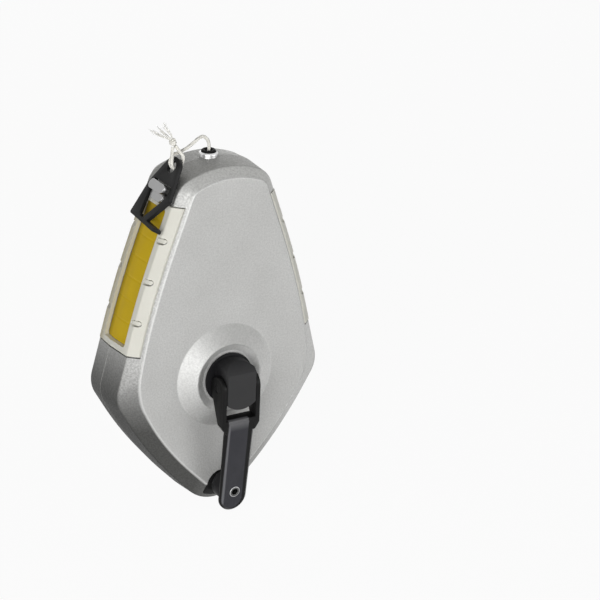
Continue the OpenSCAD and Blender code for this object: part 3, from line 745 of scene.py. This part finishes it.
def flank_sheet(e, side, y, z):
    """Sheet on one flank: x of the case skin moved inward by e, at depths y (rows) and heights z
    (rows, cols)."""
    profile = case_profile(e)
    inset = np.interp(y, profile[:, 1], profile[:, 0])
    half = RIM[:, 0] > 0
    order = np.argsort(RIM[half, 1])
    x = np.empty_like(z)
    for k, (d, depth) in enumerate(zip(inset, y)):
        flat = outline_at(d, depth)[half][order]
        x[k] = np.interp(z[k], flat[:, 1], flat[:, 0])
    return np.stack([side * x, np.repeat(y[:, None], z.shape[1], 1), z], -1)


def flank_slab(e0, e1, side, y, z):
    """Closed slab on one flank between two depths under the skin."""
    z = np.broadcast_to(z, (len(y), np.shape(z)[-1])).copy()
    return slab_solid(flank_sheet(e0, side, y, z), flank_sheet(e1, side, y, z))


def panel_rows(grow):
    """Even depths between the panel's front and rear edges, with the profile's own corners among them."""
    margin, least = 0.1, 0.02
    low, high = PANEL_Y[0] - grow, PANEL_Y[1] + grow
    corners = case_profile(0)[:, 1]
    corners = corners[(corners > low + margin) & (corners < high - margin)]
    y = np.unique(np.round(np.concatenate([corners, np.linspace(low, high, 25)]), 3))
    return y[np.concatenate([[True], np.diff(y) > least])]


def panel_slab(side, e0, e1, grow, below, above):
    """Slab in the panel's place from e0 to e1 under the skin, grown by the given millimetres at its front and
    rear, below and above."""
    z = np.linspace(PANEL_Z[0] - below, PANEL_Z[1] + above, 40)
    return flank_slab(e0, e1, side, panel_rows(grow), z)


def capsule_slab(side, z, y0, y1, r, e0, e1):
    """Round-ended slab on one flank, from e0 to e1 deep: r cos(swing) to either side of height z, and
    r sin(swing) past points r inside y0 and y1, with a swing just short of a quarter turn either way."""
    swing = np.linspace(-1.45, 1.45, 19)
    y = np.where(swing < 0, y0 + r, y1 - r) + r * np.sin(swing)
    rows = z + r * np.cos(swing)[:, None] * np.linspace(-1, 1, 7)
    return flank_slab(e0, e1, side, y, rows)


def round_box(y0, y1, z0, z1, r, steps=6):
    """Loop of (y, z) points round a rectangle with rounded corners."""
    quarter = np.linspace(0, math.pi / 2, steps)
    loops = []
    for k, (y, z) in enumerate(((y1 - r, z1 - r), (y0 + r, z1 - r), (y0 + r, z0 + r), (y1 - r, z0 + r))):
        a = quarter + k * math.pi / 2
        loops.append(np.stack([y + r * np.cos(a), z + r * np.sin(a)], -1))
    return np.concatenate(loops)


def window_tool(side):
    """Prism along X through one flank, over the window's rounded rectangle."""
    loop = round_box(*WINDOW_Y[side], *WINDOW_Z, WINDOW_ROUND)
    reach = sorted(side * x for x in WINDOW_X)
    return rings_solid([np.column_stack([np.full(len(loop), x), loop]) for x in reach], False)


def rod(r, a, b, count=48):
    """Closed cylinder of radius r from point a to point b."""
    a, b = np.array(a, float), np.array(b, float)
    axis = unit(b - a)
    ref = np.array([0, 0, 1.0]) if abs(axis[2]) < 0.9 else np.array([1.0, 0, 0])
    u = unit(np.cross(axis, ref))
    w = np.cross(axis, u)
    turn = full_turn(count)
    loop = r * (np.cos(turn)[:, None] * u + np.sin(turn)[:, None] * w)
    return rings_solid([a + loop, b + loop], False)


def seat_tool():
    """Upright arch prism along Y for the knob's seat: a half circle over straight sides that run down past
    the tip."""
    turn = np.linspace(0, math.pi, 33)
    arch = np.stack([SEAT_R * np.cos(turn), SEAT_Z + SEAT_R * np.sin(turn)], -1)
    loop = np.concatenate([arch, [[-SEAT_R, SEAT_FOOT], [SEAT_R, SEAT_FOOT]]])
    ends = [np.stack([loop[:, 0], np.full(len(loop), y), loop[:, 1]], -1) for y in SEAT_Y]
    return rings_solid(ends, False)


SIDES = {"left": LEFT, "right": RIGHT}
recesses = [panel_slab(side, -CLEAR, RECESS, PANEL_GAP, PANEL_GAP, PANEL_GAP) for side in SIDES.values()]
windows = {side: window_tool(side) for side in SIDES.values()}
nozzle_hole = rod(NOZZLE_R, *[(0, SEAM, z) for z in NOZZLE_Z])
screw_holes = [rod(SCREW_R, *[(x, y, z) for y in SCREW_Y]) for x, z in SCREW_SPOTS]

front = piece("front_case", *front_case(), CAST, "case", "front_shell", "cast_aluminium")
cut(front, *recesses, *windows.values(), nozzle_hole, seat_tool())
rear = piece("rear_case", *rear_case(), CAST, "case", "rear_shell", "cast_aluminium")
cut(rear, *recesses, *windows.values(), nozzle_hole, *screw_holes)

for label, side in SIDES.items():
    shape = panel_slab(side, -PANEL_PROUD, PANEL_UNDER, -PANEL_GAP, -PANEL_FOOT_GAP, -PANEL_TOP_GAP)
    panel = piece(f"{label}_panel", *shape, PALE, "case", f"{label}_side_panel", "pale_panel")
    runs = [(z, *run) for z in POCKET_Z for run in (POCKET_FRONT[side], POCKET_REAR)]
    cut(panel, windows[side], *[capsule_slab(side, *run, POCKET_R, -CLEAR, POCKET_UNDER) for run in runs])

clip_run = np.add(POCKET_FRONT[LEFT], (CLIP_GAP, -CLIP_GAP))
clips = [capsule_slab(LEFT, z, *clip_run, CLIP_R, 0.0, POCKET_UNDER) for z in POCKET_Z]
piece("left_clips", *joined(clips), PALE, "case", None, "pale_panel")


def window_strip():
    """Left window strip close under the panel, with shallow lines across it: a bell of depth at each line."""
    front, rear = WINDOW_Y[LEFT]
    y = np.linspace(front + STRIP_GAP, rear - STRIP_GAP, 12)
    z = np.repeat(np.linspace(WINDOW_Z[0] + STRIP_GAP, WINDOW_Z[1] - STRIP_GAP, 260)[None], len(y), 0)
    outer, inner = (flank_sheet(e, LEFT, y, z) for e in STRIP_UNDER)
    lines = WINDOW_Z[0] + STRIP_STEP * np.arange(1, STRIP_LINES + 1)
    outer[..., 0] += STRIP_GROOVE * np.exp(-(((z[..., None] - lines) / STRIP_SPREAD) ** 2)).sum(-1)
    return slab_solid(outer, inner)


# Rigid pieces: rounding of their edges in millimetres

for node, finish, width, slot in (
    ("crank_hub", HUB, 0.7, "black_metal"),
    ("crank_lever", LEVER, 0.5, "black_metal"),
    ("crank_knob", MOULD, 0.4, "black_plastic"),
    ("line_hook", COAT, 0.25, "black_metal"),
    ("hook_peg", ZINC, 0.4, "steel"),
    ("nozzle_collar", STEEL, 0.15, "steel"),
    ("nozzle_grommet", RUBBER, 0.15, "rubber"),
    ("knob_seat", RUBBER, 0.2, "rubber"),
    ("knob_rivet", RIVET, 0.12, "steel"),
    ("bail_pin", COAT, 0.2, "steel"),
    ("case_screws", STEEL, 0.2, "steel"),
    ("fill_door", YELLOW, 0.2, "yellow_plastic"),
    ("door_frame", YELLOW, 0.2, "yellow_plastic"),
):
    rounded(node, finish, width, slot)

piece("window_strip", *window_strip(), YELLOW, "case", "left_window_strip", "yellow_plastic", sharp=50)

# CAD nodes that stay, with a better finish

for node, finish in {
    "front_bush": BUSH, "rear_bush": BUSH, "thrust_washer": STEEL, "spool_shaft": STEEL,
    "spool_core": MOULD, "front_flange": MOULD, "rear_flange": MOULD,
}.items():
    nodes[node].data.materials.clear()
    nodes[node].data.materials.append(finish)


# Line: twisted tubes


def smooth_run(points, steps):
    """Catmull-Rom run through the points: cubic blend of each four neighbours."""
    p = np.array(points, float)
    p = np.concatenate([p[:1], p, p[-1:]])
    t = np.linspace(0, 1, steps, endpoint=False)[None, :, None]
    a, b, c, d = (p[k:len(p) - 3 + k, None] for k in range(4))
    run = 0.5 * (2 * b + (c - a) * t + (2 * a - 5 * b + 4 * c - d) * t**2 + (3 * b - a - 3 * c + d) * t**3)
    return np.concatenate([run.reshape(-1, 3), p[-1:]])


def twisted_tube(path, r, sides=18, strands=3, pitch=4.0, depth=0.16, taper=0.0):
    """Tube round a path: radius r (1 - depth sin^2) with lobes that turn on by one strand each pitch."""
    tangent = unit(np.gradient(path, axis=0))
    ref = np.array([0, 1.0, 0])
    u = unit(ref - tangent * (tangent @ ref)[:, None])
    w = np.cross(tangent, u)
    run = np.concatenate([[0], np.cumsum(np.linalg.norm(np.diff(path, axis=0), axis=1))])
    turn = full_turn(sides)
    lobe = np.sin(0.5 * (strands * turn[None] - 2 * math.pi * run[:, None] / pitch)) ** 2
    radius = r * (1 - depth * lobe) * (1 - taper * run / run[-1])[:, None]
    points = path[:, None] + radius[..., None] * (
        np.cos(turn)[None, :, None] * u[:, None] + np.sin(turn)[None, :, None] * w[:, None]
    )
    return rings_solid(list(points), False)


line_path = smooth_run(LINE_ROUTE, 24)
line = piece("line_run", *twisted_tube(line_path, LINE_D / 2), COTTON, None, None, None, sharp=80)
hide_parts("line_free")
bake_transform(line)

loop_tube = twisted_tube(smooth_run(LOOP_ROUTE, 24), LINE_D / 2)
loop = piece("hook_loop", *loop_tube, COTTON, "hook", "line_loop", "line_cord", sharp=80)


def tight_knot():
    """Wraps of line as a helix about the knot's leaning axis, over a short core of gathered line."""
    axis = np.array([math.sin(KNOT_LEAN), 0, math.cos(KNOT_LEAN)])
    side = np.array([math.cos(KNOT_LEAN), 0, -math.sin(KNOT_LEAN)])
    across = np.array([0, 1, 0])
    wraps, wrap_r, wrap_run, core_run = 2.3, 0.8, 1.5, 2.4
    t = np.linspace(0, 1, 90)[:, None]
    turn = 2 * math.pi * wraps * t
    helix = KNOT_AT + axis * (t - 0.5) * wrap_run + wrap_r * (np.cos(turn) * across + np.sin(turn) * side)
    core = KNOT_AT + axis * (t - 0.5) * core_run
    return joined([twisted_tube(path, r, sides=14, pitch=3.2) for path, r in ((helix, 0.52), (core, 0.75))])


def frayed_ends():
    """Each strand parts into fibres: a fibre leaves the strand's run by a small offset at its start, a spread
    times t squared and a bow of half a sine."""
    fibre_count, fibre_r, start_spread, spread, bow = 11, 0.11, 0.12, 0.55, 0.18
    fibres = []
    for route in FRAY_ROUTES:
        base = smooth_run(route, 6)
        t = np.linspace(0, 1, len(base))[:, None]
        for _ in range(fibre_count):
            way, curl = rng.normal(0, 1, 3), rng.normal(0, 1, 3)
            start = rng.normal(0, start_spread, 3)
            path = base + start + way * spread * t**2 + curl * bow * np.sin(math.pi * t)
            path = path[: int(len(path) * rng.uniform(0.88, 1.0))]
            fibres.append(twisted_tube(path, fibre_r, sides=5, strands=2, pitch=2.0, depth=0.1, taper=0.6))
    return joined(fibres)


knot = piece("hook_knot", *tight_knot(), COTTON, "hook", "line_knot", "line_cord", sharp=80)
frays = piece("frayed_ends", *frayed_ends(), FIBRE, "hook", "line_ends", "line_cord", sharp=80)

# Wound line: core with ridges and one open outer layer


def wound_layer():
    """Helix of line over the core, as far out as the CAD layer's straight sides need: r / cos(pi / sides)."""
    width = SPOOL_Y[1] - SPOOL_Y[0] - LINE_D - 2 * WIND_END
    r = (PACK_R + LINE_D / 2 + WIND_GAP) / math.cos(math.pi / WIND_SIDES)
    turn = np.linspace(0, WIND_LOOPS * 2 * math.pi, WIND_LOOPS * WIND_STEPS + 1)
    y = SPOOL_Y[0] + WIND_END + LINE_D / 2 + width * turn / turn[-1]
    return twisted_tube(np.stack([r * np.cos(turn), y, r * np.sin(turn)], -1), LINE_D / 2, sides=12)


def wound_core():
    """Core of wound line: radius ripples with each pass of line along Y, the same all round."""
    y = np.linspace(*SPOOL_Y, 90)[1:-1]
    turn = full_turn(96)
    radius = PACK_R - PACK_RIPPLE * np.sin(math.pi * (y - SPOOL_Y[0]) / LINE_D) ** 2
    rows = [(PACK_R, SPOOL_Y[0]), *zip(radius, y), (PACK_R, SPOOL_Y[1])]
    rows += [(PACK_BORE_R, end) for end in SPOOL_Y[::-1]]
    return rings_solid([circle(r, depth, turn) for r, depth in rows], True)


piece("wound_layer", *wound_layer(), COTTON, "spool", "line_winding", "line_cord", sharp=80)
piece("wound_core", *wound_core(), COTTON, "spool", "line_pack", "line_cord", sharp=60)


def wiper():
    """Felt ring in the nozzle: a ring section with soft outer corners turned about Z."""
    low, high = FELT_Z
    corners = [(FELT_BORE_R, low), (FELT_R, low), (FELT_R, high), (FELT_BORE_R, high)]
    turn = full_turn(40)
    rings = [
        np.stack([r * np.cos(turn), SEAM + r * np.sin(turn), np.full(len(turn), z)], -1)
        for r, z in filleted(corners, [FELT_ROUND, FELT_ROUND], 4)
    ]
    return rings_solid(rings, True)


piece("nozzle_felt", *wiper(), FELT, "case", "felt_wiper", "felt", sharp=60)

# Studio, in metres

# Photo's camera: angles in degrees, focal length and the origin's place in pixels, and distance
PHOTO_SIZE = 600
PHOTO = {
    "azimuth": -30.35, "elevation": 23.69, "roll": 1.57,
    "focal": 3189.9, "spot": (183.4, 344.5), "distance": 1.1808,
}
SENSOR = 36
FLOOR_HALF, FLOOR_Z = 3.0, -0.0521
MIDDLE = Vector((0, -0.015, 0.01))


def studio_camera():
    """Camera on the photo's line of sight, turned so that the origin falls on its pixel."""
    a, e = math.radians(PHOTO["azimuth"]), math.radians(PHOTO["elevation"])
    back = Vector((math.sin(a) * math.cos(e), -math.cos(a) * math.cos(e), math.sin(e)))
    level = (-back).to_track_quat("-Z", "Y").to_matrix()
    rolled = level @ Matrix.Rotation(math.radians(PHOTO["roll"]), 3, "Z")
    u, v = PHOTO["spot"]
    centre = PHOTO_SIZE / 2
    aim = Vector(((u - centre) / PHOTO["focal"], (centre - v) / PHOTO["focal"], -1)).normalized()
    turned = rolled @ aim.rotation_difference(Vector((0, 0, -1))).to_matrix()
    data = bpy.data.cameras.new("camera")
    data.sensor_width, data.lens = SENSOR, PHOTO["focal"] * SENSOR / PHOTO_SIZE
    data.clip_start, data.clip_end = 0.05, 20
    camera = bpy.data.objects.new("camera", data)
    camera.matrix_world = Matrix.Translation(back * PHOTO["distance"]) @ turned.to_4x4()
    bpy.context.scene.collection.objects.link(camera)
    bpy.context.scene.camera = camera


def soft_box(name, place, size, watts):
    """Square area lamp that faces the middle of the object."""
    data = bpy.data.lights.new(name, "AREA")
    data.size, data.energy = size, watts
    lamp = bpy.data.objects.new(name, data)
    lamp.location = place
    lamp.rotation_euler = (MIDDLE - Vector(place)).to_track_quat("-Z", "Y").to_euler()
    bpy.context.scene.collection.objects.link(lamp)


def seen_ray(graph):
    """1 for a ray from the camera, a mirror or glass, else 0."""
    rays = ("Is Camera Ray", "Is Glossy Ray", "Is Transmission Ray")
    camera, mirror, glass = (graph.node("ShaderNodeLightPath", out=ray) for ray in rays)
    return camera.math("MAXIMUM", mirror).math("MAXIMUM", glass)


def white_sky():
    """World: plain white to camera, mirror and glass rays, a dimmer even light to the rest."""
    world = bpy.data.worlds.new("sky")
    world.use_nodes = True
    graph = Graph(world.node_tree)
    sockets = {"Value": seen_ray(graph), "To Min": 0.08, "To Max": 1.0}
    strength = graph.node("ShaderNodeMapRange", None, sockets)
    sky = graph.tree.nodes["Background"]
    sky.inputs["Color"].default_value = grey(1)
    graph.tree.links.new(strength.socket, sky.inputs["Strength"])
    bpy.context.scene.world = world


def floor():
    """Pale floor under the tip: mostly white to the camera, with a share of its own shading for shadow."""
    corners = [(x * FLOOR_HALF, y * FLOOR_HALF, FLOOR_Z) for x, y in ((-1, -1), (1, -1), (1, 1), (-1, 1))]
    mesh = bpy.data.meshes.new("floor")
    mesh.from_pydata(corners, [], [(0, 1, 2, 3)])
    f = Finish("floor_paper", Roughness=0.9)
    f.feed(Base_Color=f.blend(f.noise(30), grey(0.9), grey(0.92)))
    shaded, glow = Wire(f, f.shader.outputs[0]), f.node("ShaderNodeEmission", None, {"Color": grey(1)})
    mix = f.node("ShaderNodeMixShader", None, {0: seen_ray(f) * 0.94, 1: shaded, 2: glow})
    f.tree.links.new(mix.socket, f.tree.nodes["Material Output"].inputs["Surface"])
    mesh.materials.append(f.mat)
    obj = bpy.data.objects.new("floor", mesh)
    bpy.context.scene.collection.objects.link(obj)


studio_camera()
white_sky()
floor()
soft_box("key", (-0.80, -0.90, 0.20), 0.9, 14.2)
soft_box("fill", (0.80, -0.96, 0.14), 0.7, 4.8)
soft_box("rear", (0.55, 1.2, 0.1), 0.8, 5)
bpy.context.scene.view_settings.view_transform = "Standard"
